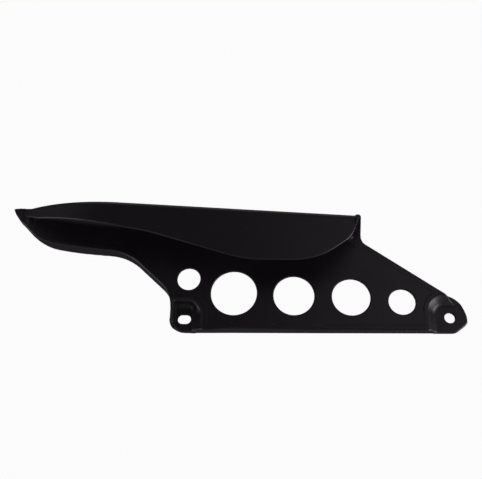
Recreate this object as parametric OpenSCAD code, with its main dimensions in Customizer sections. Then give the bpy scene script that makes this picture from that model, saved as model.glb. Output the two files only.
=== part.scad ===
// Chain guard for a motorcycle, moulded in one piece from black plastic.
// A flat side plate with round lightening holes is bolted to the swing arm at
// two sunk lugs. Its top folds over into a hood that covers the upper run of
// the chain, with an outer skirt that hangs down like a blade and a pointed
// prow at the front.
// X runs rearward, Y inboard and Z up. The origin is on the axis of the rear
// bolt hole, in the plane where both lugs seat.

/* [Mounting] */
// Distance from the rear bolt hole forward to the middle of the front slot
bolt_spacing = 237; // [228:1:246]
// Drop of the front slot below the rear bolt hole
slot_drop = 1.5; // [0:0.5:3]
// Diameter of the rear bolt hole
bolt_hole_d = 9.5; // [6:0.5:11]
// Width of the front slot, across its length
slot_w = 8.5; // [6:0.5:9]
// Length of the front slot, end to end
slot_len = 12; // [10:0.5:14]
// Thickness of a lug at its seat
seat_t = 3; // [2.4:0.2:4]
// Breadth of the round land on the back of the front slot
slot_land = 7.6; // [6.5:0.1:9]
// Breadth of the lug behind the rear bolt hole
rear_land = 10.4; // [9.5:0.1:11]

/* [Side plate] */
// Thickness of the moulded wall
wall = 2.8; // [2:0.2:3.4]
// Depth of the plate and its return flange in front of the seats
plate_depth = 12; // [10:0.5:15]
// Height of the rear bolt hole above the bottom edge
bottom_drop = 13.8; // [13.4:0.1:14.6]
// Distance behind the rear bolt hole at which the bottom edge turns up
rear_foot_x = 3.7; // [2:0.1:5]
// Radius of that turn
rear_foot_r = 10; // [6:0.5:12]
// Drop of the lower corner of the rear end, below the rear bolt hole
rear_low_drop = 5.1; // [4.8:0.1:6]
// Radius of that corner
rear_low_r = 7; // [5:0.5:8]
// Height of the corner where the rear end meets the long diagonal
rear_corner_z = 5.3; // [5.2:0.1:7]
// Radius of that corner
rear_r = 11.5; // [9:0.1:12]
// Height of the corner of the brow, which swells over the rear lug's back
brow_z = 15.1; // [14:0.1:16]
// Radius of that corner
brow_r = 22; // [16:0.5:23]
// Lean of the brow's upper edge, in degrees
brow_lean = 20; // [16:1:24]
// Height of the diagonal's upper end, below the roof
diagonal_z = 69.9; // [66:0.1:71]
// Radius of the inner corner there
diagonal_r = 8; // [4:0.5:9]
// Reach of the plate in front of the front slot
front_reach = 11.3; // [11:0.1:14]
// Corner radius at the bottom of the front edge
front_r = 12; // [8:1:13]
// Height of the bend where the front edge starts to lean forward
front_bend_z = 18; // [14:1:22]
// Radius of that bend
front_bend_r = 30; // [20:1:36]
// Distance forward from the front slot to the foot of the prow
throat_run = 56.5; // [52:0.5:62]
// Height of the throat under the prow
throat_z = 59.6; // [57:0.2:63]
// Radius of the throat
throat_r = 50; // [30:1:60]

/* [Lug pockets] */
// Distance of the rear pocket's axis in front of the bolt hole
rear_pocket_x = 4.8; // [3:0.2:6]
// Height of that axis above the bolt hole
rear_pocket_z = 2.4; // [1:0.2:4]
// Radius of the rear pocket at its seat
rear_seat_r = 9.2; // [8:0.2:10]
// Radius of the rear pocket at the face of the plate
rear_mouth_r = 15.9; // [14:0.1:17]
// Distance of the front pocket's axes behind the middle of the slot
front_pocket_x = 3.5; // [2:0.5:4]
// Height above the slot of the axis of the pocket's shallow side
shallow_z = 1.5; // [0:0.5:3]
// Radius of the shallow side at its seat
shallow_seat_r = 4.4; // [3.5:0.1:6]
// Radius of the shallow side at the face of the plate
shallow_mouth_r = 13.4; // [12:0.2:14]
// Height above the slot of the axis of the pocket's steep top
steep_z = 7.3; // [6:0.1:8]
// Radius of the steep top at its seat
steep_seat_r = 5.2; // [4.5:0.1:6]
// Radius of the steep top at the face of the plate
steep_mouth_r = 7.7; // [6.5:0.1:9]

/* [Lightening holes] */
// Diameter of hole 1, at the front
hole1_d = 21; // [14:0.5:24]
// Distance of hole 1 in front of the rear bolt hole
hole1_x = 233.5; // [231:0.5:236]
// Height of hole 1 above the rear bolt hole
hole1_z = 34; // [32:0.5:37]
// Diameter of hole 2, the largest
hole2_d = 41.5; // [30:0.5:44]
// Distance of hole 2 in front of the rear bolt hole
hole2_x = 192; // [190:0.5:194]
// Height of hole 2 above the rear bolt hole
hole2_z = 20.5; // [18:0.5:24]
// Diameter of hole 3
hole3_d = 36.5; // [26:0.5:40]
// Distance of hole 3 in front of the rear bolt hole
hole3_x = 138; // [134:0.5:142]
// Height of hole 3 above the rear bolt hole
hole3_z = 18; // [16:0.5:22]
// Diameter of hole 4
hole4_d = 34; // [24:0.5:36]
// Distance of hole 4 in front of the rear bolt hole
hole4_x = 87; // [83:0.5:90]
// Height of hole 4 above the rear bolt hole
hole4_z = 16.5; // [14:0.5:20]
// Diameter of hole 5, at the rear
hole5_d = 23.5; // [16:0.5:25]
// Distance of hole 5 in front of the rear bolt hole
hole5_x = 42.5; // [40:0.5:46]
// Height of hole 5 above the rear bolt hole
hole5_z = 12; // [10:0.5:14]

/* [Hood] */
// Distance from the rear bolt hole forward to the rear end of the roof
roof_end_x = 80; // [76:1:84]
// Height of the roof there
roof_end_z = 78.4; // [75:0.2:82]
// Fall of the roof towards the rear, in degrees
roof_fall = 4.1; // [2.5:0.1:5]
// Length of the roof from its rear end to the tip of the prow
roof_len = 320.8; // [308:0.4:328]
// Width of the channel for the chain, from the plate to the skirt's outside
hood_w = 42; // [36:1:48]
// Outside radius of the fold between roof and skirt
skirt_fold_r = 6; // [4:0.5:8]
// Outside radius of the fold between roof and plate
plate_fold_r = 5; // [4:0.5:8]
// Inside radius of the fold between roof and plate
plate_fillet_r = 7; // [4:0.5:10]
// Skew of the roof's rear end: how far the inner corner trails the outer one
roof_skew = 5; // [0:0.5:8]
// Height of the rim across the roof's rear end
end_rim_h = 1.3; // [0.8:0.1:2]
// Breadth of that rim
end_rim_w = 5; // [2.5:0.5:6]

/* [Prow] */
// Offset of the tip in front of the plate's face
tip_out = 15.5; // [12:0.5:20]
// Length of the bent part of the plate, in front of its flat part
plate_bend_len = 100.5; // [88:0.5:112]
// Length of the bent part of the skirt, in front of its flat part
skirt_bend_len = 95; // [86:0.5:105]
// Length of the thin beak in front of the skirt, where the plate runs on alone
beak_len = 10; // [7:0.5:13]
// Length over which the return flange runs out towards the tip
flange_fade_len = 75; // [60:1:88]
// Distance from the tip back to the heel of the prow
heel_back = 26; // [20:0.5:32]
// Height of the heel of the prow
heel_z = 66.8; // [64:0.2:69]
// Radius of the heel
heel_r = 40; // [25:1:45]
// Height of the tip's lower end
tip_low_z = 96; // [93:0.2:97]
// Height of the tip's blunt end
tip_h = 2; // [1:0.2:4]

/* [Skirt] */
// Lowest height of the skirt's lip, along the belly
belly_z = 35.8; // [34:0.2:40]
// Distance from the rear bolt hole forward to the belly's front end
belly_front_x = 180; // [174:1:186]
// Radius of the belly's front end
belly_front_r = 120; // [60:5:140]
// Distance from the rear bolt hole forward to the belly's rear end
belly_rear_x = 119.5; // [114:0.5:124]
// Radius of the belly's rear end
belly_rear_r = 60; // [40:2:64]
// Distance from the belly's front end forward to the long lip's bend
lip_bend_run = 87; // [78:1:96]
// Height of that bend
lip_bend_z = 63.2; // [61:0.2:66]
// Radius of that bend
lip_bend_r = 170; // [80:5:200]
// Distance from the tip back to the bend of the lip under it
lip_nose_back = 17.3; // [12:0.1:22]
// Height of that bend
lip_nose_z = 85.3; // [83:0.1:88]
// Radius of that bend
lip_nose_r = 30; // [15:1:34]
// Distance from the roof's rear end forward to the shoulder where the lip
// climbs to the roof
shoulder_run = 8; // [6:0.5:10]
// Height of that shoulder
shoulder_z = 57; // [54:0.5:60]
// Radius of that shoulder
shoulder_r = 25; // [14:1:27]

/* [Hidden] */
$fn = 96;

// Clearance by which a cutting shape passes a face
over = 1;
// Longest chord on a rounded corner of an outline
chord = 2.5;
// A size larger than the whole part, for shapes that cut everything on a side
far = 600;

// Faces and places that follow from the driving dimensions
plate_front_y = -plate_depth;
plate_back_y = plate_front_y + wall;
skirt_y = plate_front_y - hood_w;
rear_end_x = bolt_hole_d / 2 + rear_land;
slot_x = -bolt_spacing;
slot_z = -slot_drop;
front_edge_x = slot_x - front_reach;
tip_u = -roof_len;
tip_y = plate_front_y - tip_out;
skirt_bend_u = tip_u + beak_len + skirt_bend_len;
plate_bend_u = tip_u + plate_bend_len;
flange_fade_u = tip_u + flange_fade_len;
tip_x = -roof_end_x - roof_len * cos(roof_fall);
heel_x = tip_x + heel_back;
lip_nose_x = tip_x + lip_nose_back;
holes = [
    [hole1_x, hole1_z, hole1_d],
    [hole2_x, hole2_z, hole2_d],
    [hole3_x, hole3_z, hole3_d],
    [hole4_x, hole4_z, hole4_d],
    [hole5_x, hole5_z, hole5_d]
];

// Radius of an arc that leaves a straight line and rises by a rise over a run
function arc_r(run, rise) = (run * run + rise * rise) / (2 * rise);
plate_arc_r = arc_r(plate_bend_len, plate_back_y - tip_y);
flange_arc_r = arc_r(flange_fade_len, -tip_y);

// The skirt's outside meets the front of the plate at the root of the beak
beak_run = plate_bend_len - beak_len;
beak_y = plate_back_y - plate_arc_r + sqrt(pow(plate_arc_r - wall, 2) - pow(beak_run, 2));
skirt_arc_r = arc_r(skirt_bend_len, beak_y - skirt_y);

// Outlines are lists of corners, each with its place and its rounding radius
function place(c) = [c[0], c[1]];
function unit(v) = v / norm(v);
function turn(a, b) = a[0] * b[1] - a[1] * b[0];
function wrap(list, i) = list[(i + len(list)) % len(list)];

// Points of the arc that rounds the corner c between its neighbours p and n
function rounded(p, c, n, r) = r <= 0 ? [c] :
    let (
        a = unit(p - c),
        b = unit(n - c),
        half = acos(a * b) / 2,
        middle = c + unit(a + b) * r / sin(half),
        start = c + a * r / tan(half) - middle,
        side = turn(a, b) > 0 ? -1 : 1,
        sweep = side * (180 - 2 * half),
        steps = max(2, ceil(abs(sweep) * PI / 180 * r / chord))
    )
    [for (i = [0:steps])
        let (t = atan2(start[1], start[0]) + sweep * i / steps)
        middle + r * [cos(t), sin(t)]];

function outline(corners) = [
    for (i = [0:len(corners) - 1])
        each rounded(
            place(wrap(corners, i - 1)),
            place(corners[i]),
            place(wrap(corners, i + 1)),
            corners[i][2])];

// The same corners with every edge moved in by d, for a list that runs
// anticlockwise. Radii shrink on outer corners and grow on inner ones.
function moved_in(corners, d) = [
    for (i = [0:len(corners) - 1])
        let (
            c = place(corners[i]),
            a = unit(c - place(wrap(corners, i - 1))),
            b = unit(place(wrap(corners, i + 1)) - c),
            bend = turn(a, b),
            shift = ([-a[1], a[0]] + [-b[1], b[0]]) * d / (1 + a * b),
            r = corners[i][2] == 0 ? 0 : corners[i][2] - sign(bend) * d
        )
        [c[0] + shift[0], c[1] + shift[1], max(r, 0)]];

// Side view of the whole guard below the roof, open towards the top
plate_corners = [
    [-far, far, 0],
    [-far, tip_low_z + (far + tip_x) * (tip_low_z - heel_z) / heel_back, 0],
    [heel_x, heel_z, heel_r],
    [slot_x - throat_run, throat_z, throat_r],
    [front_edge_x, front_bend_z, front_bend_r],
    [front_edge_x, -bottom_drop, front_r],
    [rear_foot_x, -bottom_drop, rear_foot_r],
    [rear_end_x, -rear_low_drop, rear_low_r],
    [rear_end_x, rear_corner_z, rear_r],
    [-roof_end_x + roof_skew, diagonal_z, diagonal_r],
    [-roof_end_x + roof_skew, far, 0]
];

// Side view of the rear lug's back, where it swells past the diagonal
brow_corners = [
    [rear_end_x, -rear_low_drop, 0],
    [rear_end_x, brow_z, brow_r],
    [-roof_end_x, brow_z + (rear_end_x + roof_end_x) * tan(brow_lean), 0]
];

// Side view of the space past the tip, with the beak's top edge
beak_root_z = roof_end_z + (roof_len - beak_len) * sin(roof_fall);
tip_top_z = tip_low_z + tip_h;
past_tip = [
    [-far, far],
    [-far, -far],
    [tip_x, -far],
    [tip_x, tip_top_z],
    [tip_x + 2 * beak_len, tip_top_z + 2 * (beak_root_z - tip_top_z)],
    [tip_x + 2 * beak_len, far]
];

// Side view of the space below the lip of the skirt
lip_corners = [
    [-far, tip_low_z + (far + tip_x) * (tip_low_z - lip_nose_z) / lip_nose_back, 0],
    [-far, -far, 0],
    [far, -far, 0],
    [far, far, 0],
    [-roof_end_x, far, 0],
    [-roof_end_x - over, roof_end_z, 0],
    [-roof_end_x - shoulder_run, shoulder_z, shoulder_r],
    [-belly_rear_x, belly_z, belly_rear_r],
    [-belly_front_x, belly_z, belly_front_r],
    [-belly_front_x - lip_bend_run, lip_bend_z, lip_bend_r],
    [lip_nose_x, lip_nose_z, lip_nose_r]
];

// Side view of the plate, moved in by d
module plate_view(d) {
    polygon(outline(moved_in(plate_corners, d)));
}

// Side view of what lies below the lip
module below_lip() {
    polygon(outline(lip_corners));
}

// Side view of the front slot, grown by d all round
module slot_view(d) {
    for (end = [-1, 1])
        translate([slot_x + end * (slot_len - slot_w) / 2, slot_z])
            circle(slot_w / 2 + d);
    translate([slot_x, slot_z])
        square([slot_len - slot_w, slot_w + 2 * d], center = true);
}

// Extrudes a side view from one depth to another
module across(y0, y1) {
    translate([0, y1, 0])
        rotate([90, 0, 0])
            linear_extrude(height = y1 - y0)
                children();
}

// Puts what is drawn along the roof into the part's own frame. Lengths along
// the roof are measured from its rear end, heights from its top.
module along_roof() {
    translate([-roof_end_x, 0, roof_end_z])
        rotate([0, roof_fall, 0])
            children();
}

// Half section of a block with one rounded upper edge, its top at height 0
module edge_section(reach, r) {
    translate([0, -far])
        square([reach, far - r]);
    translate([0, -far])
        square([reach - r, far]);
    if (r > 0)
        translate([reach - r, -r])
            circle(r);
}

// All that lies on the outer side of a wall face and below a top: the face is
// straight along the chain and then an arc that bends outward to the tip
module behind_face(bend_u, face_y, arc, top, r) {
    translate([bend_u, face_y - arc, top]) {
        rotate_extrude($fn = 360)
            edge_section(arc, r);
        rotate([90, 0, 90])
            linear_extrude(height = far)
                edge_section(arc, r);
    }
}

// Inner side of the skirt's outside face, moved in by d
module skirt_side(d, top, r) {
    mirror([0, 1, 0])
        behind_face(skirt_bend_u, -skirt_y - d, skirt_arc_r - d, top, r);
}

// Outer side of the plate's back face, moved out by d
module plate_side(d, top, r) {
    behind_face(plate_bend_u, plate_back_y - d, plate_arc_r - d, top, r);
}

// Room for the chain between skirt and plate, below the roof
module chain_room() {
    intersection() {
        skirt_side(wall, -wall, skirt_fold_r - wall);
        plate_side(wall, -wall, plate_fillet_r);
    }
}

// Roof, skirt and plate as one folded wall, before its edges are cut
module folded_wall() {
    difference() {
        intersection() {
            skirt_side(0, 0, skirt_fold_r);
            plate_side(0, 0, plate_fold_r);
        }
        chain_room();
    }
}

// Wall of the plate where it runs on past the skirt to the tip
module beak() {
    difference() {
        intersection() {
            plate_side(0, 0, plate_fold_r);
            translate([tip_u - beak_len, 3 * tip_y, -far])
                cube([3 * beak_len, -3 * tip_y, 2 * far]);
        }
        plate_side(wall, over, 0);
    }
}

// Rim that stands up across the roof's rear end
module end_rim() {
    skew = [roof_skew, hood_w];
    difference() {
        intersection() {
            skirt_side(0, end_rim_h, skirt_fold_r);
            plate_side(0, end_rim_h, plate_fold_r);
            translate([0, skirt_y, -skirt_fold_r])
                linear_extrude(height = far)
                    polygon([-skew, 2 * skew, 2 * skew - [end_rim_w, 0], -skew - [end_rim_w, 0]]);
        }
        chain_room();
    }
}

// Space in front of the plate and behind the roof's skewed rear end
module behind_hood() {
    skew = [roof_skew, hood_w];
    along_roof()
        translate([0, skirt_y, -far])
            linear_extrude(height = 2 * far)
                polygon([skew, -skew, [far, -hood_w], [far, hood_w]]);
}

// Hood, plate and beak, with the skirt cut along its lip
module hood_and_plate() {
    intersection() {
        difference() {
            along_roof() {
                folded_wall();
                beak();
                end_rim();
            }
            intersection() {
                along_roof()
                    plate_side(wall, -wall, plate_fillet_r);
                across(-far, 0)
                    below_lip();
            }
            behind_hood();
        }
        across(-far, 0)
            plate_view(0);
    }
}

// Return flange round the plate's free edge. It runs out towards the tip and
// curves into the plate's back below the roof.
module return_flange() {
    difference() {
        intersection() {
            across(plate_front_y - tip_out, 0)
                difference() {
                    plate_view(0);
                    plate_view(wall);
                }
            along_roof()
                behind_face(flange_fade_u, 0, flange_arc_r, -plate_fold_r, plate_depth - wall);
        }
        along_roof()
            plate_side(wall, 0, 0);
    }
}

// Sunk pocket of a lug, from depth back_y out past the plate's face. Its wall
// leans outward. It opens downward and towards +X. grow moves its wall out.
module pocket(seat_r, mouth_r, back_y, grow) {
    slope = (mouth_r - seat_r) / (plate_depth - seat_t);
    deep = plate_depth + over + back_y;
    back_r = seat_r + grow * norm([1, slope]) - slope * (seat_t + back_y);
    front_r = back_r + slope * deep;
    translate([0, back_y, 0]) {
        rotate([90, 0, 0])
            cylinder(h = deep, r1 = back_r, r2 = front_r);
        translate([0, 0, -far])
            linear_extrude(height = far)
                polygon([[-back_r, 0], [-front_r, -deep], [far, -deep], [far, 0]]);
        rotate([90, 0, 90])
            linear_extrude(height = far)
                polygon([[0, -far], [0, back_r], [-deep, front_r], [-deep, -far]]);
    }
}

module rear_pocket(back_y, grow) {
    translate([-rear_pocket_x, 0, rear_pocket_z])
        pocket(rear_seat_r, rear_mouth_r, back_y, grow);
}

// The front pocket has a steep top and a side that slopes gently
module front_pocket(back_y, grow) {
    translate([slot_x + front_pocket_x, 0, slot_z])
        mirror([1, 0, 0]) {
            translate([0, 0, shallow_z])
                pocket(shallow_seat_r, shallow_mouth_r, back_y, grow);
            translate([0, 0, steep_z])
                pocket(steep_seat_r, steep_mouth_r, back_y, grow);
        }
}

// Plastic behind and round both pockets, with a round land at the slot and a
// brow over the back of the rear lug
module lug_walls() {
    intersection() {
        union() {
            rear_pocket(0, wall);
            front_pocket(0, wall);
        }
        across(plate_front_y, 0)
            plate_view(0);
    }
    across(-seat_t, 0) {
        slot_view(slot_land);
        difference() {
            polygon(outline(brow_corners));
            plate_view(wall);
        }
    }
}

// What the pockets take away: the front one leaves the flange's rim in front
module lug_recesses() {
    rear_pocket(-seat_t, 0);
    intersection() {
        front_pocket(-seat_t, 0);
        translate([front_edge_x + wall, -far, -far])
            cube([far, far, 2 * far]);
    }
}

module lightening_holes() {
    across(plate_front_y - over, 0)
        for (h = holes)
            translate([-h[0], h[1]])
                circle(h[2] / 2);
}

module bolt_holes() {
    rotate([90, 0, 0])
        cylinder(h = 2 * plate_depth, r = bolt_hole_d / 2, center = true);
    across(-plate_depth, over)
        slot_view(0);
}

module chain_guard() {
    color([0.09, 0.085, 0.09])
        difference() {
            union() {
                hood_and_plate();
                return_flange();
                lug_walls();
            }
            lug_recesses();
            lightening_holes();
            bolt_holes();
            across(-far, 0)
                polygon(past_tip);
        }
}

chain_guard();
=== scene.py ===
"""The chain guard's looks: a one-piece moulding in satin black plastic.

The guard is drawn as a smooth distance field from the CAD part's sizes, so
every fold and edge is truly rounded, and the field is turned into a mesh. X
runs rearward, Y inboard and Z up, in metres in Blender. The field itself
works in millimetres.
"""

import math

import bpy
import numpy as np
from mathutils import Matrix, Vector


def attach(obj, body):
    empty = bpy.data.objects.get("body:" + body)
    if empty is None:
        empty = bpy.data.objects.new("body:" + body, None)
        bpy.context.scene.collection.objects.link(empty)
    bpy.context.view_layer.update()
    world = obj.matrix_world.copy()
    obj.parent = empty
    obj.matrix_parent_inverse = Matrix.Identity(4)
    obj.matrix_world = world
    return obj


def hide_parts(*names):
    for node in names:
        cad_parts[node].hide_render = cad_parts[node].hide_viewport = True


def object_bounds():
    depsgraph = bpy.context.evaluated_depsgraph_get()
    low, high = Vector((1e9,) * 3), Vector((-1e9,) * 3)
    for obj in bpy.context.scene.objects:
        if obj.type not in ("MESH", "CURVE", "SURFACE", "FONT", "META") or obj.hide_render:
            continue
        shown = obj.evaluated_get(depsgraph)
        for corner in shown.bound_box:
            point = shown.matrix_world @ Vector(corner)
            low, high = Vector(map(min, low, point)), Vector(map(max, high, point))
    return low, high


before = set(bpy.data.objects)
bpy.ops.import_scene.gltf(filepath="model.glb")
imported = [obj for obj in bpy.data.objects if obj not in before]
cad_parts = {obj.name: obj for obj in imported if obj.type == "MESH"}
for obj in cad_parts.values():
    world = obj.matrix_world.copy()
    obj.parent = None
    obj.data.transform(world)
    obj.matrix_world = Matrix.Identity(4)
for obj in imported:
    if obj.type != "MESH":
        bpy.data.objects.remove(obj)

cad_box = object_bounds()

MM = 0.001

# Sizes shared with the CAD part, in millimetres: walls and lugs
WALL = 2.8
PLATE_DEPTH = 12.0
SEAT_T = 3.0
BOLT_SPACING = 237.0
SLOT_DROP = 1.5
BOLT_HOLE_D = 9.5
SLOT_W = 8.5
SLOT_LEN = 12.0
SLOT_LAND = 7.6
REAR_LAND = 10.4
# Each pocket: its axis from its bolt, its radius at the seat and at the mouth.
# The front ones are mirrored along X.
REAR_POCKET = (-4.8, 2.4, 9.2, 15.9)
SHALLOW_POCKET = (-3.5, 1.5, 4.4, 13.4)
STEEP_POCKET = (-3.5, 7.3, 5.2, 7.7)
# Each lightening hole: distance in front of the rear bolt hole, height, diameter
HOLES = (
    (233.5, 34.0, 21.0),
    (192.0, 20.5, 41.5),
    (138.0, 18.0, 36.5),
    (87.0, 16.5, 34.0),
    (42.5, 12.0, 23.5),
)

# The plate's outline, from its bottom round the rear lug and up the diagonal
BOTTOM_DROP = 13.8
REAR_FOOT_X = 3.7
REAR_FOOT_R = 10.0
REAR_LOW_DROP = 5.1
REAR_LOW_R = 7.0
REAR_CORNER_Z = 5.3
REAR_R = 11.5
BROW_Z = 15.1
BROW_R = 22.0
BROW_LEAN = math.radians(20)
DIAGONAL_Z = 69.9
DIAGONAL_R = 8.0
# The plate's outline in front of its bottom
FRONT_REACH = 11.3
FRONT_R = 12.0
FRONT_BEND_Z = 18.0
FRONT_BEND_R = 30.0
THROAT_RUN = 56.5
THROAT_Z = 59.6
THROAT_R = 50.0
HEEL_BACK = 26.0
HEEL_R = 40.0

# The hood's roof and folds, and the rim at its rear end
HOOD_W = 42.0
ROOF_END_X = -80.0
ROOF_END_Z = 78.4
ROOF_FALL = math.radians(4.1)
ROOF_LEN = 320.8
ROOF_SKEW = 5.0
SKIRT_FOLD_R = 6.0
PLATE_FOLD_R = 5.0
PLATE_FILLET_R = 7.0
END_RIM_H = 1.3
END_RIM_W = 5.0
# The prow, seen from above
TIP_OUT = 15.5
PLATE_BEND_LEN = 100.5
SKIRT_BEND_LEN = 95.0
BEAK_LEN = 10.0
FLANGE_FADE_LEN = 75.0
# The tip and the skirt's lip, seen from the side
TIP_LOW_Z = 96.0
TIP_H = 2.0
SHOULDER_RUN = 8.0
SHOULDER_Z = 57.0
SHOULDER_R = 25.0
BELLY_Z = 35.8
BELLY_REAR_X = -119.5
BELLY_REAR_R = 60.0
BELLY_FRONT_X = -180.0
BELLY_FRONT_R = 120.0
LIP_BEND_RUN = 87.0
LIP_BEND_Z = 63.2
LIP_BEND_R = 170.0

# Sizes at the prow that follow the photograph up to 3 mm more closely than the
# CAD part
JAW_BACK = 7.5
JAW_Z = 85.3
JAW_R = 14.0
HEEL_Z = 67.2
LIP_NOSE_BACK = 26.0
LIP_NOSE_Z = 85.0
LIP_NOSE_R = 35.0

# Roundings that only the looks need: of the free edges
EDGE_R = 0.7
TIP_R = 0.9
LIP_R = 1.35
HOLE_EDGE_R = 0.9
BOLT_EDGE_R = 0.4
# Of each pocket at its foot and mouth, and of its corner at the front wall
POCKET_R = 2.2
FRONT_POCKET_R = 4.0
FRONT_WALL_R = 0.5
# Of the hollows where two forms join
FLANGE_R = 2.2
POCKET_JOIN_R = 2.0
LUG_JOIN_R = 0.8
RIM_JOIN_R = 0.6
BEAK_JOIN_R = 1.5
# Distance over which one fold's radius passes into the other's
FOLD_BLEND = 4.0
# The flange leans in towards the plate's front, fully so in front of LEAN_FULL_X
# and not at all behind LEAN_END_X. Near the slot it stands straight: the lean
# starts this far behind or above it, and grows over LEAN_FADE.
FLANGE_LEAN = 2.0
LEAN_FULL_X = -210.0
LEAN_END_X = -110.0
LEAN_BEHIND_SLOT = 22.0
LEAN_ABOVE_SLOT = 10.0
LEAN_FADE = 20.0
# How far down the folds the rim runs, and how far ahead of the plate the cuts reach
RIM_FOOT = 14.0
CUT_REACH = 12.0

# Size of the grid that the field is sampled on, and the mesh's triangle budget
CELL = 0.8
TRIANGLES = 190000
# Directions from the middle of a tetrahedron to its corners, to measure a slope by
TETRAHEDRON = ((1, -1, -1), (-1, -1, 1), (-1, 1, -1), (1, 1, 1))

# The photograph's width in pixels, and the camera's sensor in millimetres
PHOTO_WIDTH = 482.0
SENSOR_WIDTH = 36.0
# Brightness of the backdrop that the camera sees, and of the room that the
# plastic reflects
BACKDROP = 0.97
ROOM = 0.06
# Half the floor's side and its height, in metres
FLOOR_HALF = 6.0
FLOOR_Z = -0.62
# Each light: name, place, target, size and power, in metres and watts. The two
# low ones at the sides draw the bright lines along the lip, flange and pockets.
LIGHTS = (
    ("key", (0.45, -1.2, 0.5), (-0.1, 0, 0.03), (1.1, 0.8), 0.85),
    ("left", (-1.22, -0.2, -0.42), (-0.25, 0, 0.06), (0.8, 0.7), 3.4),
    ("left_high", (-1.2, -0.55, 0.6), (-0.25, 0, 0.06), (0.7, 0.7), 0.25),
    ("right", (0.95, -0.15, -0.35), (-0.19, 0, 0.03), (0.9, 0.8), 9.5),
    ("top", (-0.2, -0.1, 1.2), (-0.19, 0, 0.03), (1.2, 0.8), 1.2),
)

# Places that follow from the sizes
PLATE_Y = -PLATE_DEPTH
BACK_Y = PLATE_Y + WALL
SKIRT_Y = PLATE_Y - HOOD_W
SLOT_X = -BOLT_SPACING
SLOT_Z = -SLOT_DROP
FRONT_X = SLOT_X - FRONT_REACH
REAR_END_X = BOLT_HOLE_D / 2 + REAR_LAND
DIAGONAL_X = ROOF_END_X + ROOF_SKEW
TIP_U = -ROOF_LEN
TIP_Y = PLATE_Y - TIP_OUT
TIP_X = ROOF_END_X - ROOF_LEN * math.cos(ROOF_FALL)
TIP_TOP_Z = TIP_LOW_Z + TIP_H
BEAK_ROOT_Z = ROOF_END_Z + (ROOF_LEN - BEAK_LEN) * math.sin(ROOF_FALL)
JAW = (TIP_X + JAW_BACK, JAW_Z)
HEEL = (TIP_X + HEEL_BACK, HEEL_Z)
LIP_NOSE = (TIP_X + LIP_NOSE_BACK, LIP_NOSE_Z)
PLATE_BEND_U = TIP_U + PLATE_BEND_LEN
SKIRT_BEND_U = TIP_U + BEAK_LEN + SKIRT_BEND_LEN
FLANGE_FADE_U = TIP_U + FLANGE_FADE_LEN
FAR = 600.0


def line_end(a, b):
    """The place at x = -FAR on the line from a through b."""
    return (-FAR, a[1] + (b[1] - a[1]) * (-FAR - a[0]) / (b[0] - a[0]))


# Side views as corners: x, z and the radius that rounds the corner
PLATE_CORNERS = (
    (-FAR, FAR, 0.0),
    (*line_end(JAW, (TIP_X, TIP_LOW_Z)), 0.0),
    (*JAW, JAW_R),
    (*HEEL, HEEL_R),
    (SLOT_X - THROAT_RUN, THROAT_Z, THROAT_R),
    (FRONT_X, FRONT_BEND_Z, FRONT_BEND_R),
    (FRONT_X, -BOTTOM_DROP, FRONT_R),
    (REAR_FOOT_X, -BOTTOM_DROP, REAR_FOOT_R),
    (REAR_END_X, -REAR_LOW_DROP, REAR_LOW_R),
    (REAR_END_X, REAR_CORNER_Z, REAR_R),
    (DIAGONAL_X, DIAGONAL_Z, DIAGONAL_R),
    (DIAGONAL_X, FAR, 0.0),
)
BROW_CORNERS = (
    (REAR_END_X, -REAR_LOW_DROP, 0.0),
    (REAR_END_X, BROW_Z, BROW_R),
    (ROOF_END_X, BROW_Z + (REAR_END_X - ROOF_END_X) * math.tan(BROW_LEAN), 0.0),
)
LIP_CORNERS = (
    (*line_end(LIP_NOSE, (TIP_X, TIP_LOW_Z)), 0.0),
    (-FAR, -FAR, 0.0),
    (FAR, -FAR, 0.0),
    (FAR, FAR, 0.0),
    (ROOF_END_X, FAR, 0.0),
    (ROOF_END_X - 1.0, ROOF_END_Z, 0.0),
    (ROOF_END_X - SHOULDER_RUN, SHOULDER_Z, SHOULDER_R),
    (BELLY_REAR_X, BELLY_Z, BELLY_REAR_R),
    (BELLY_FRONT_X, BELLY_Z, BELLY_FRONT_R),
    (BELLY_FRONT_X - LIP_BEND_RUN, LIP_BEND_Z, LIP_BEND_R),
    (*LIP_NOSE, LIP_NOSE_R),
)


def outline(corners, chord=1.0):
    """The corners' rounded outline, as an array of points."""
    points = []
    for i, (x, z, r) in enumerate(corners):
        c = np.array((x, z))
        if r <= 0:
            points.append(c)
            continue
        a = np.array(corners[i - 1][:2]) - c
        b = np.array(corners[(i + 1) % len(corners)][:2]) - c
        a /= np.linalg.norm(a)
        b /= np.linalg.norm(b)
        half = math.acos(float(a @ b)) / 2
        middle = c + (a + b) / np.linalg.norm(a + b) * r / math.sin(half)
        start = c + a * r / math.tan(half) - middle
        side = -1 if a[0] * b[1] - a[1] * b[0] > 0 else 1
        sweep = side * (math.pi - 2 * half)
        steps = max(2, math.ceil(abs(sweep) * r / chord))
        first = math.atan2(start[1], start[0])
        for k in range(steps + 1):
            t = first + sweep * k / steps
            points.append(middle + r * np.array((math.cos(t), math.sin(t))))
    return np.array(points)


def side_distance(points, x, z):
    """Signed distance to a closed outline, negative inside, at x and z."""
    x, z = np.broadcast_arrays(x, z)
    nearest = np.full(x.shape, np.inf)
    inside = np.zeros(x.shape, bool)
    for (ax, az), (bx, bz) in zip(points, np.roll(points, -1, axis=0)):
        ex, ez = bx - ax, bz - az
        wx, wz = x - ax, z - az
        t = np.clip((wx * ex + wz * ez) / (ex * ex + ez * ez), 0, 1)
        nearest = np.minimum(nearest, (wx - ex * t) ** 2 + (wz - ez * t) ** 2)
        if ez != 0:
            crosses = (az > z) != (bz > z)
            inside ^= crosses & (wx < ex * wz / ez)
    return np.where(inside, -1, 1) * np.sqrt(nearest)


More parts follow.
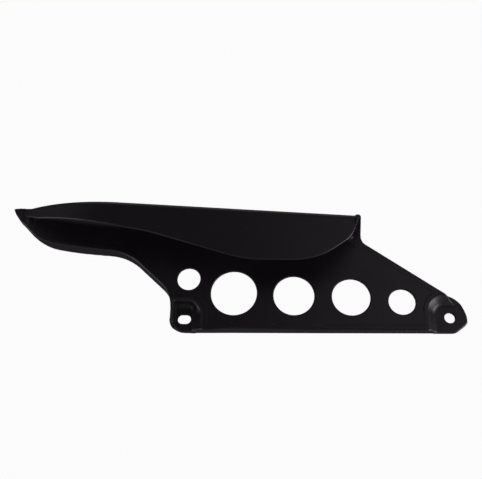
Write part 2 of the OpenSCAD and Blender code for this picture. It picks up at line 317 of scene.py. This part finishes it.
def arc_radius(run, rise):
    """Radius of an arc that leaves a straight line and rises over a run."""
    return (run * run + rise * rise) / (2 * rise)


def face_distance(u, y, bend_u, face_y, arc):
    """Signed distance past a face, positive on its +Y side. The face is
    straight along the chain and bends outward, to -Y, in front of bend_u."""
    bent = np.hypot(u - bend_u, y - (face_y - arc)) - arc
    return np.where(u < bend_u, bent, y - face_y)


def both(a, b, r=0.0):
    """Intersection of two fields, with its edge rounded to radius r."""
    corner = np.hypot(np.maximum(a + r, 0), np.maximum(b + r, 0))
    return np.minimum(np.maximum(a, b), -r) + corner


def either(a, b, r=0.0):
    """Union of two fields, with its inner corner filled to radius r."""
    return -both(-a, -b, r)


def cut(a, b, r=0.0):
    """Field a with b taken out of it, with the cut's edge rounded to radius r."""
    return both(a, -b, r)


PLATE_ARC = arc_radius(PLATE_BEND_LEN, BACK_Y - TIP_Y)
FLANGE_ARC = arc_radius(FLANGE_FADE_LEN, -TIP_Y)
# The skirt's outside meets the front of the plate at the root of the beak
BEAK_RUN = PLATE_BEND_LEN - BEAK_LEN
BEAK_Y = BACK_Y - PLATE_ARC + math.sqrt((PLATE_ARC - WALL) ** 2 - BEAK_RUN ** 2)
SKIRT_ARC = arc_radius(SKIRT_BEND_LEN, BEAK_Y - SKIRT_Y)
PLATE_LINE = outline(PLATE_CORNERS)
LIP_LINE = outline(LIP_CORNERS)
BROW_LINE = outline(BROW_CORNERS)


def roof_frame(x, z):
    """Place along the roof, rearward, and place up from the roof's top."""
    c, s = math.cos(ROOF_FALL), math.sin(ROOF_FALL)
    along = (x - ROOF_END_X) * c - (z - ROOF_END_Z) * s
    up = (x - ROOF_END_X) * s + (z - ROOF_END_Z) * c
    return along, up


def leaned_plate_side(x, z, flange_out):
    """Distance past the plate's outline, drawn in where the flange leans."""
    leaning = np.clip((LEAN_END_X - x) / (LEAN_END_X - LEAN_FULL_X), 0, 1)
    leaning = leaning * np.clip(-flange_out / PLATE_DEPTH, 0, 1)
    off_lug = np.maximum(x - SLOT_X - LEAN_BEHIND_SLOT, z - SLOT_Z - LEAN_ABOVE_SLOT)
    leaning = leaning * np.clip(off_lug / LEAN_FADE, 0, 1)
    return side_distance(PLATE_LINE, x, z) + FLANGE_LEAN * leaning


def hood_field(x, y, z, u, w, back_out, plate_side):
    """Roof, skirt and plate, with the rim at the rear and the beak in front."""
    # One folded wall
    skirt_out = face_distance(u, -y, SKIRT_BEND_U, -SKIRT_Y, SKIRT_ARC)
    to_skirt = 0.5 + 0.5 * np.tanh((skirt_out - back_out) / FOLD_BLEND)
    fold_r = PLATE_FOLD_R + (SKIRT_FOLD_R - PLATE_FOLD_R) * to_skirt
    fillet_r = PLATE_FILLET_R + (SKIRT_FOLD_R - WALL - PLATE_FILLET_R) * to_skirt
    plan = both(back_out, skirt_out, TIP_R)
    outer = both(plan, w, fold_r)
    shell = cut(outer, both(plan + WALL, w + WALL, fillet_r))

    # The skirt ends at its lip, and skirt and roof end at the skewed rear line
    in_front = back_out + WALL + LIP_R
    skew = math.atan2(ROOF_SKEW, HOOD_W)
    past_end = u * math.cos(skew) - (y - SKIRT_Y) * math.sin(skew)
    open_side = np.maximum(side_distance(LIP_LINE, x, z), w + WALL + LIP_R)
    open_side = np.maximum(np.minimum(open_side, -past_end), in_front)
    hood = cut(shell, open_side, LIP_R)

    # Rim across the roof's rear end, which runs out a little way down its folds
    rim_h = END_RIM_H * np.clip((w + RIM_FOOT) / RIM_FOOT, 0, 1)
    rim_r = (END_RIM_W ** 2 / 4 + END_RIM_H ** 2) / (2 * END_RIM_H)
    rim = np.hypot(past_end + END_RIM_W / 2, outer - rim_h + rim_r) - rim_r
    rim = np.maximum(rim, -(w + RIM_FOOT))
    rim = np.maximum(rim, -(outer + WALL))
    rim = np.maximum(np.maximum(rim, -open_side), past_end)
    hood = either(hood, rim, RIM_JOIN_R)

    # Beak, where the plate's wall runs on alone to the tip
    beak = cut(both(back_out, w, PLATE_FOLD_R), back_out + WALL, EDGE_R)
    beak = np.maximum(beak, u - TIP_U - 2 * BEAK_LEN)
    hood = either(hood, beak, BEAK_JOIN_R)
    hood = both(hood, plate_side, EDGE_R)
    top_lean = math.atan2(BEAK_ROOT_Z - TIP_TOP_Z, BEAK_LEN)
    over_beak = (z - TIP_TOP_Z) * math.cos(top_lean) - (x - TIP_X) * math.sin(top_lean)
    return both(hood, both(TIP_X - x, over_beak, TIP_R), EDGE_R)


def flange_field(w, back_out, flange_out, plate_side):
    """Return flange round the plate's free edge."""
    flange = both(plate_side, -(plate_side + WALL))
    flange_reach = both(flange_out, w + PLATE_FOLD_R, PLATE_DEPTH - WALL)
    flange = both(flange, flange_reach, EDGE_R)
    return np.maximum(flange, -(back_out + WALL / 2))


def pocket(x, y, z, shape):
    """Distance past a pocket's leaning wall, negative in the pocket, from its
    bolt. The pocket opens to -Z and +X."""
    ax, az, seat_r, mouth_r = shape
    x, z = x - ax, z - az
    slope = (mouth_r - seat_r) / (PLATE_DEPTH - SEAT_T)
    reach = np.hypot(np.maximum(-x, 0), np.maximum(z, 0))
    reach = np.where((x > 0) & (z < 0), np.maximum(-x, z), reach)
    return (reach - seat_r - slope * (-SEAT_T - y)) / math.hypot(1, slope)


def with_lugs(body, x, y, z, plate_side):
    """The body with its sunk lugs: a backing behind each pocket, a round land
    at each bolt, and the pockets, the bolt hole, the slot and the lightening
    holes cut through."""
    fx, fz = SLOT_X - x, z - SLOT_Z
    rear = pocket(x, y, z, REAR_POCKET)
    shallow = pocket(fx, y, fz, SHALLOW_POCKET)
    steep = pocket(fx, y, fz, STEEP_POCKET)
    front = either(shallow, steep, POCKET_JOIN_R)
    along = np.maximum(np.abs(fx) - (SLOT_LEN - SLOT_W) / 2, 0)
    slot_side = np.hypot(along, fz) - SLOT_W / 2
    hole_side = np.hypot(x, z) - BOLT_HOLE_D / 2
    backing = either(rear - WALL, front - WALL)
    backing = both(both(backing, plate_side, EDGE_R), np.maximum(PLATE_Y - y, y))
    brow = np.maximum(side_distance(BROW_LINE, x, z), -(plate_side + WALL))
    land = both(either(slot_side - SLOT_LAND, brow), np.maximum(-SEAT_T - y, y), EDGE_R)
    body = either(body, either(backing, land), LUG_JOIN_R)

    # Every cut stops short of the skirt
    ahead = PLATE_Y - CUT_REACH - y
    rear = both(rear, y + SEAT_T, POCKET_R)
    front = both(front, y + SEAT_T, FRONT_POCKET_R)
    front = both(front, FRONT_X + WALL - x, FRONT_WALL_R)
    cuts = [(rear, POCKET_R), (front, FRONT_POCKET_R)]
    cuts += [(hole_side, BOLT_EDGE_R), (slot_side, BOLT_EDGE_R)]
    for hole_x, hole_z, hole_d in HOLES:
        cuts.append((np.hypot(x + hole_x, z - hole_z) - hole_d / 2, HOLE_EDGE_R))
    for space, edge_r in cuts:
        body = cut(body, np.maximum(space, ahead), edge_r)
    return body


def field(x, y, z):
    """The guard's signed distance, negative inside the plastic, in mm."""
    u, w = roof_frame(x, z)
    back_out = face_distance(u, y, PLATE_BEND_U, BACK_Y, PLATE_ARC)
    flange_out = face_distance(u, y, FLANGE_FADE_U, 0.0, FLANGE_ARC)
    plate_side = leaned_plate_side(x, z, flange_out)
    body = hood_field(x, y, z, u, w, back_out, plate_side)
    body = either(body, flange_field(w, back_out, flange_out, plate_side), FLANGE_R)
    return with_lugs(body, x, y, z, plate_side)


def grid_axis(low, high):
    """Sample places along one axis, a little past the part on both sides."""
    pad = 3 * CELL
    return np.arange(low - pad, high + pad + CELL, CELL, dtype=np.float64)


def gradient(points, step=0.05):
    """Unit normals of the field at points."""
    out = np.zeros_like(points)
    for k in TETRAHEDRON:
        k = np.array(k, float)
        q = points + k * step
        out += k * field(q[:, 0], q[:, 1], q[:, 2])[:, None]
    size = np.linalg.norm(out, axis=1, keepdims=True)
    return out / np.maximum(size, 1e-9)


def settle(points, rounds):
    """Moves points onto the surface, along the field's gradient."""
    for _ in range(rounds):
        away = field(points[:, 0], points[:, 1], points[:, 2])
        away = np.clip(away, -CELL / 2, CELL / 2)
        points = points - gradient(points) * away[:, None]
    return points


def crossings(values, inside):
    """How many of each cell's edges the surface crosses, and the sum of the
    places where it does, in cells from the cell's low corner."""
    shape = np.array(values.shape) - 1
    count = np.zeros(shape, np.int16)
    total = np.zeros((*shape, 3), np.float32)
    ends = (slice(0, -1), slice(1, None))
    for axis in range(3):
        others = [a for a in range(3) if a != axis]
        for i in (0, 1):
            for j in (0, 1):
                lo = [None] * 3
                hi = [None] * 3
                lo[axis], hi[axis] = ends
                lo[others[0]] = hi[others[0]] = ends[i]
                lo[others[1]] = hi[others[1]] = ends[j]
                a, b = values[tuple(lo)], values[tuple(hi)]
                cross = inside[tuple(lo)] != inside[tuple(hi)]
                t = np.where(cross, a / np.where(cross, a - b, 1), 0)
                count += cross
                total[..., axis] += t
                total[..., others[0]] += np.where(cross, i, 0)
                total[..., others[1]] += np.where(cross, j, 0)
    return count, total


def crossed_quads(inside, index):
    """A quad round each grid edge that the surface crosses, as vertex numbers."""
    quads = []
    for axis in range(3):
        o1, o2 = (axis + 1) % 3, (axis + 2) % 3
        lo = [slice(1, -1)] * 3
        hi = [slice(1, -1)] * 3
        lo[axis], hi[axis] = slice(0, -1), slice(1, None)
        a, b = inside[tuple(lo)], inside[tuple(hi)]
        for enter in (False, True):
            found = np.argwhere((a != b) & (b == enter))
            step = np.ones(3, int)
            step[axis] = 0
            base = found + step
            ring = []
            for d1, d2 in ((0, 0), (1, 0), (1, 1), (0, 1)):
                cell = base.copy()
                cell[:, o1] -= d1
                cell[:, o2] -= d2
                ring.append(index[tuple(cell.T)])
            quad = np.stack(ring, axis=1)
            quads.append(quad if not enter else quad[:, ::-1])
    return np.concatenate(quads)


def surface_net(xs, ys, zs):
    """One vertex in each cell that the surface crosses, joined by quads."""
    values = field(xs[:, None, None], ys[None, :, None], zs[None, None, :])
    inside = values < 0
    count, total = crossings(values, inside)
    near = np.abs(values) < 3 * CELL
    used = (count > 0) & near[:-1, :-1, :-1]
    index = np.full(used.shape, -1, np.int64)
    index[used] = np.arange(used.sum())
    mean = total[used] / count[used][:, None]
    origin = np.array((xs[0], ys[0], zs[0]))
    points = origin + (np.argwhere(used) + mean) * CELL
    return points, crossed_quads(inside, index)


def add_object(name, data):
    """A new object with this data, in the scene."""
    made = bpy.data.objects.new(name, data)
    bpy.context.scene.collection.objects.link(made)
    return made


def build_guard():
    """The guard's mesh, thinned to its budget, with the field's normals."""
    low, high = (np.array(corner) / MM for corner in cad_box)
    axes = [grid_axis(a, b) for a, b in zip(low, high)]
    points, quads = surface_net(*axes)
    points = settle(points, rounds=3)
    rough_mesh = bpy.data.meshes.new("rough")
    rough_mesh.from_pydata((points * MM).tolist(), [], quads.tolist())
    rough_mesh.update()
    rough = add_object("rough", rough_mesh)
    thin = rough.modifiers.new("thin", "DECIMATE")
    thin.ratio = min(1.0, TRIANGLES / (2 * len(quads)))
    graph = bpy.context.evaluated_depsgraph_get()
    mesh = bpy.data.meshes.new_from_object(rough.evaluated_get(graph))
    bpy.data.objects.remove(rough)
    mesh.name = "guard_shell"
    flat = np.empty(len(mesh.vertices) * 3)
    mesh.vertices.foreach_get("co", flat)
    points = settle(flat.reshape(-1, 3) / MM, rounds=2)
    mesh.vertices.foreach_set("co", (points * MM).ravel())
    mesh.update()
    mesh.polygons.foreach_set("use_smooth", [True] * len(mesh.polygons))
    mesh.normals_split_custom_set_from_vertices(gradient(points).tolist())
    return add_object("guard_shell", mesh)


def noise(nodes, links, place, scale, detail):
    """A noise texture on the guard's own coordinates."""
    texture = nodes.new("ShaderNodeTexNoise")
    texture.inputs["Scale"].default_value = scale
    texture.inputs["Detail"].default_value = detail
    links.new(place.outputs["Object"], texture.inputs["Vector"])
    return texture


def moulded_plastic():
    """Black moulded plastic, satin, with a fine grain and faint handling marks."""
    material = bpy.data.materials.new("guard_plastic")
    material.use_nodes = True
    nodes, links = material.node_tree.nodes, material.node_tree.links
    shader = nodes["Principled BSDF"]
    shader.inputs["Base Color"].default_value = (0.014, 0.0095, 0.0145, 1)
    # The mean roughness, for a viewer that doesn't read the marks below
    shader.inputs["Roughness"].default_value = 0.38
    shader.inputs["IOR"].default_value = 1.49
    place = nodes.new("ShaderNodeTexCoord")

    grain = noise(nodes, links, place, scale=1400.0, detail=2.0)
    bump = nodes.new("ShaderNodeBump")
    bump.inputs["Strength"].default_value = 0.12
    bump.inputs["Distance"].default_value = 0.0002
    links.new(grain.outputs["Fac"], bump.inputs["Height"])
    links.new(bump.outputs["Normal"], shader.inputs["Normal"])

    marks = noise(nodes, links, place, scale=28.0, detail=5.0)
    ramp = nodes.new("ShaderNodeMapRange")
    ramp.inputs["From Min"].default_value = 0.3
    ramp.inputs["From Max"].default_value = 0.7
    ramp.inputs["To Min"].default_value = 0.32
    ramp.inputs["To Max"].default_value = 0.43
    links.new(marks.outputs["Fac"], ramp.inputs["Value"])
    links.new(ramp.outputs["Result"], shader.inputs["Roughness"])
    return material


def add_camera(place, turn, lift, roll, pixels):
    """The scene's camera, at a place in mm. It looks along +Y, turned left,
    lifted and rolled by angles in degrees, with its focal length in pixels."""
    data = bpy.data.cameras.new("camera")
    data.sensor_width = SENSOR_WIDTH
    data.lens = SENSOR_WIDTH * pixels / PHOTO_WIDTH
    data.clip_start = 0.01
    data.clip_end = 20.0
    t, e, r = (math.radians(v) for v in (turn, lift, roll))
    ahead = Vector((-math.sin(t) * math.cos(e), math.cos(t) * math.cos(e), math.sin(e)))
    level = Vector((math.cos(t), math.sin(t), 0))
    above = level.cross(ahead)
    right = level * math.cos(r) + above * math.sin(r)
    up = above * math.cos(r) - level * math.sin(r)
    turned = Matrix((right, up, -ahead)).transposed().to_4x4()
    camera = add_object("camera", data)
    camera.matrix_world = Matrix.Translation(Vector(place) * MM) @ turned
    bpy.context.scene.camera = camera


def add_light(name, place, target, size, power):
    """A rectangular light that faces its target."""
    data = bpy.data.lights.new(name, "AREA")
    data.shape = "RECTANGLE"
    data.size, data.size_y = size
    data.energy = power
    light = add_object(name, data)
    light.location = place
    light.rotation_mode = "QUATERNION"
    light.rotation_quaternion = (Vector(target) - Vector(place)).to_track_quat("-Z", "Y")


def add_floor():
    """A plain pale floor, well below the guard."""
    mesh = bpy.data.meshes.new("floor")
    signs = ((-1, -1), (1, -1), (1, 1), (-1, 1))
    corners = [(FLOOR_HALF * a, FLOOR_HALF * b, FLOOR_Z) for a, b in signs]
    mesh.from_pydata(corners, [], [(0, 1, 2, 3)])
    material = bpy.data.materials.new("floor")
    material.use_nodes = True
    shader = material.node_tree.nodes["Principled BSDF"]
    shader.inputs["Base Color"].default_value = (0.9, 0.9, 0.9, 1)
    shader.inputs["Roughness"].default_value = 0.9
    mesh.materials.append(material)
    ground = add_object("floor", mesh)


def add_world():
    """A near-white backdrop to the camera, and a dim room to everything else."""
    world = bpy.data.worlds.new("world")
    world.use_nodes = True
    nodes, links = world.node_tree.nodes, world.node_tree.links
    path = nodes.new("ShaderNodeLightPath")
    mix = nodes.new("ShaderNodeMix")
    mix.data_type = "RGBA"
    mix.inputs["A"].default_value = (ROOM, ROOM, ROOM, 1)
    mix.inputs["B"].default_value = (BACKDROP, BACKDROP, BACKDROP, 1)
    links.new(path.outputs["Is Camera Ray"], mix.inputs["Factor"])
    links.new(mix.outputs["Result"], nodes["Background"].inputs["Color"])
    bpy.context.scene.world = world


add_camera(place=(-157.9, -540.8, -165.6), turn=3.075, lift=24.27, roll=0.964, pixels=620.0)
add_world()
add_floor()
for light in LIGHTS:
    add_light(*light)

guard = build_guard()
guard.data.materials.append(moulded_plastic())
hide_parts("chain_guard")
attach(guard, "root")

bpy.context.scene.view_settings.view_transform = "Standard"
